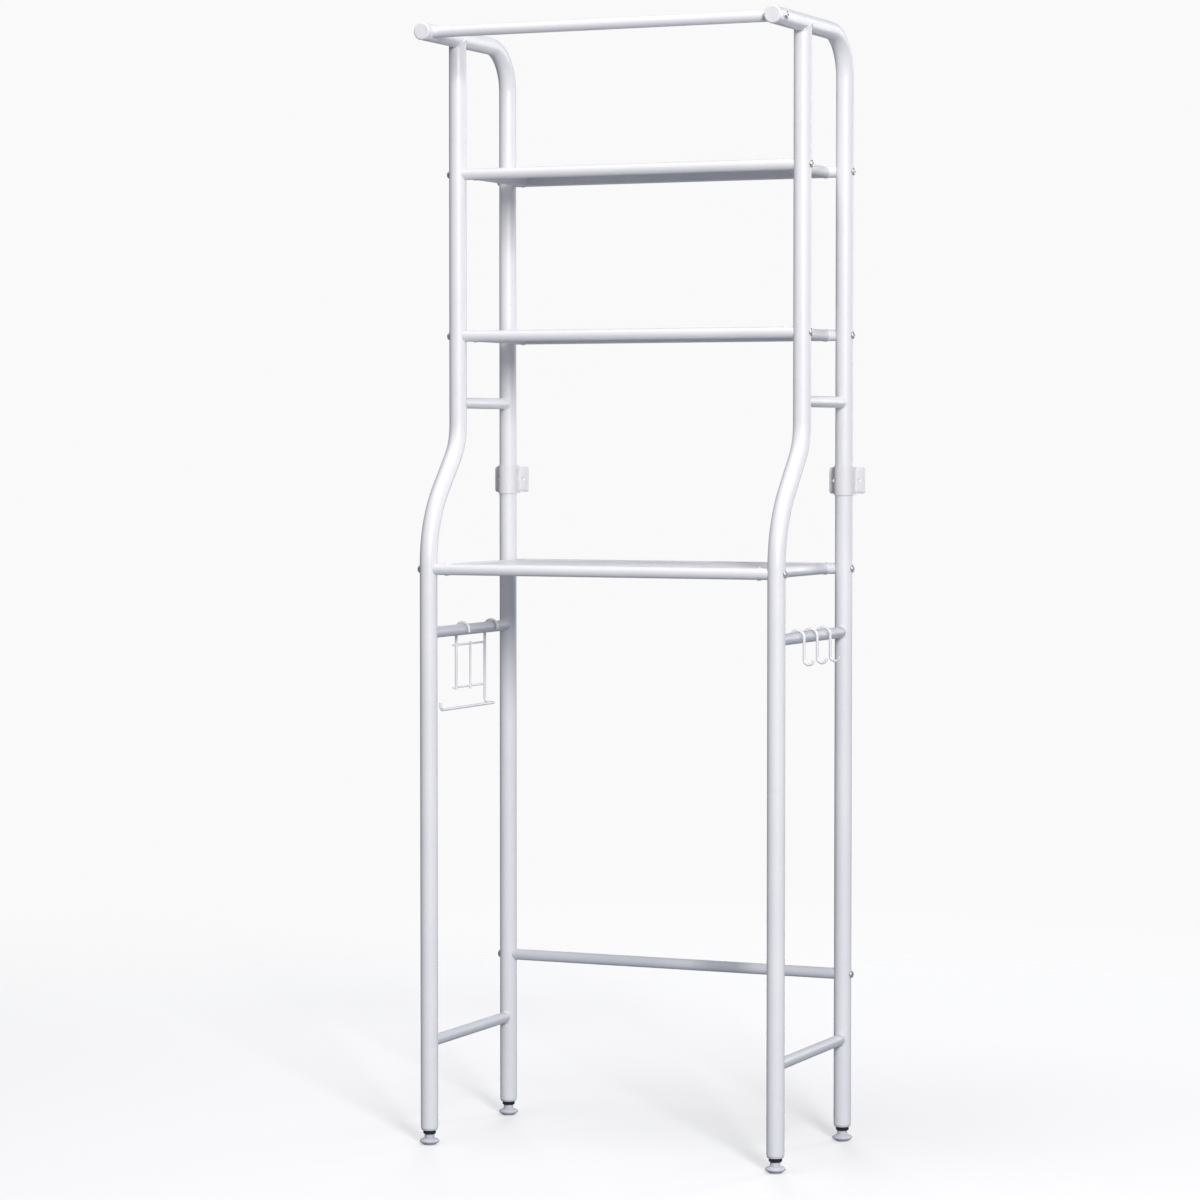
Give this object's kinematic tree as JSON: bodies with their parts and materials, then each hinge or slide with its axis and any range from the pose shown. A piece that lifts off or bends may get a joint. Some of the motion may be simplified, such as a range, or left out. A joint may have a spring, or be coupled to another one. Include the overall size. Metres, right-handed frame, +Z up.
{
  "type": "over the toilet storage rack",
  "caption": "Free-standing white tube rack with three shelves over a toilet, towel bar, side hooks, paper holder and levelling feet.",
  "frame": {"origin": "on the floor under the middle of the overall box", "axes": "+X to the right seen from the front, +Y to the wall behind, +Z up"},
  "size_m": [0.586, 0.3014, 1.6005],
  "materials": {
    "white_coat": "satin white powder coat on steel tube",
    "sheet_coat": "satin white powder coat on sheet steel",
    "anchor_coat": "satin white powder coat",
    "white_wire": "white dip-coated wire",
    "white_plastic": "moulded, satin",
    "grey_plastic": "moulded, matte",
    "glide_plastic": "moulded pale grey, satin",
    "black_nylon": "moulded nylon, satin",
    "zinc_steel": "bright zinc plate"
  },
  "bodies": {
    "frame": {"arm_end_cap_left": "white_plastic", "arm_end_cap_right": "white_plastic", "bottom_shelf_front_tube": "white_coat", "bottom_shelf_left_tube": "white_coat", "bottom_shelf_panel": "sheet_coat", "bottom_shelf_rear_tube": "white_coat", "bottom_shelf_right_tube": "white_coat", "cross_piece_inserts": "zinc_steel", "crossbar_bolts": "zinc_steel", "foot_lock_nuts": "black_nylon", "front_left_foot_plug": "grey_plastic", "front_right_foot_plug": "grey_plastic", "front_upright_left": "white_coat", "front_upright_right": "white_coat", "hook_rung_left": "white_coat", "hook_rung_right": "white_coat", "lower_rung_left": "white_coat", "lower_rung_right": "white_coat", "middle_shelf_front_tube": "white_coat", "middle_shelf_left_tube": "white_coat", "middle_shelf_panel": "sheet_coat", "middle_shelf_rear_tube": "white_coat", "middle_shelf_right_tube": "white_coat", "rear_crossbar": "white_coat", "rear_left_foot_plug": "grey_plastic", "rear_right_foot_plug": "grey_plastic", "rear_upright_left": "white_coat", "rear_upright_right": "white_coat", "shelf_bolts": "zinc_steel", "shelf_tube_inserts": "zinc_steel", "top_shelf_front_tube": "white_coat", "top_shelf_left_tube": "white_coat", "top_shelf_panel": "sheet_coat", "top_shelf_rear_tube": "white_coat", "top_shelf_right_tube": "white_coat", "towel_bar": "white_coat", "towel_bar_bolts": "zinc_steel", "tube_clip_left": "anchor_coat", "tube_clip_right": "anchor_coat", "upper_rung_left": "white_coat", "upper_rung_right": "white_coat", "wall_plate_left": "anchor_coat", "wall_plate_right": "anchor_coat"},
    "front_left_foot": {"front_left_foot_glide": "glide_plastic", "front_left_foot_stud": "zinc_steel"},
    "front_right_foot": {"front_right_foot_glide": "glide_plastic", "front_right_foot_stud": "zinc_steel"},
    "rear_left_foot": {"rear_left_foot_glide": "glide_plastic", "rear_left_foot_stud": "zinc_steel"},
    "rear_right_foot": {"rear_right_foot_glide": "glide_plastic", "rear_right_foot_stud": "zinc_steel"},
    "front_s_hook": {"s_hook_front": "white_wire"},
    "middle_s_hook": {"s_hook_middle": "white_wire"},
    "rear_s_hook": {"s_hook_rear": "white_wire"},
    "paper_holder": {"paper_holder_arm_wire": "white_wire", "paper_holder_front_wire": "white_wire", "paper_holder_lower_cross_wire": "white_wire", "paper_holder_middle_wire": "white_wire", "paper_holder_upper_cross_wire": "white_wire"}
  },
  "joints": [
    {"name": "front_left_foot_height", "type": "slide", "parent": "frame", "child": "front_left_foot", "axis": [0, 0, -1], "range_m": [0, 0.012]},
    {"name": "front_right_foot_height", "type": "slide", "parent": "frame", "child": "front_right_foot", "axis": [0, 0, -1], "range_m": [0, 0.012]},
    {"name": "rear_left_foot_height", "type": "slide", "parent": "frame", "child": "rear_left_foot", "axis": [0, 0, -1], "range_m": [0, 0.012]},
    {"name": "rear_right_foot_height", "type": "slide", "parent": "frame", "child": "rear_right_foot", "axis": [0, 0, -1], "range_m": [0, 0.012]},
    {"name": "front_s_hook_swing", "type": "hinge", "parent": "frame", "child": "front_s_hook", "pos_m": [0.266, -0.05075, 0.735], "axis": [0, 1, 0], "range_deg": [-60, 60]},
    {"name": "middle_s_hook_swing", "type": "hinge", "parent": "frame", "child": "middle_s_hook", "pos_m": [0.266, 0.00125, 0.735], "axis": [0, 1, 0], "range_deg": [-60, 60]},
    {"name": "rear_s_hook_swing", "type": "hinge", "parent": "frame", "child": "rear_s_hook", "pos_m": [0.266, 0.05325, 0.735], "axis": [0, 1, 0], "range_deg": [-60, 60]},
    {"name": "paper_holder_swing", "type": "hinge", "parent": "frame", "child": "paper_holder", "pos_m": [-0.266, 0.02825, 0.735], "axis": [0, 1, 0], "range_deg": [-45, 70]}
  ]
}
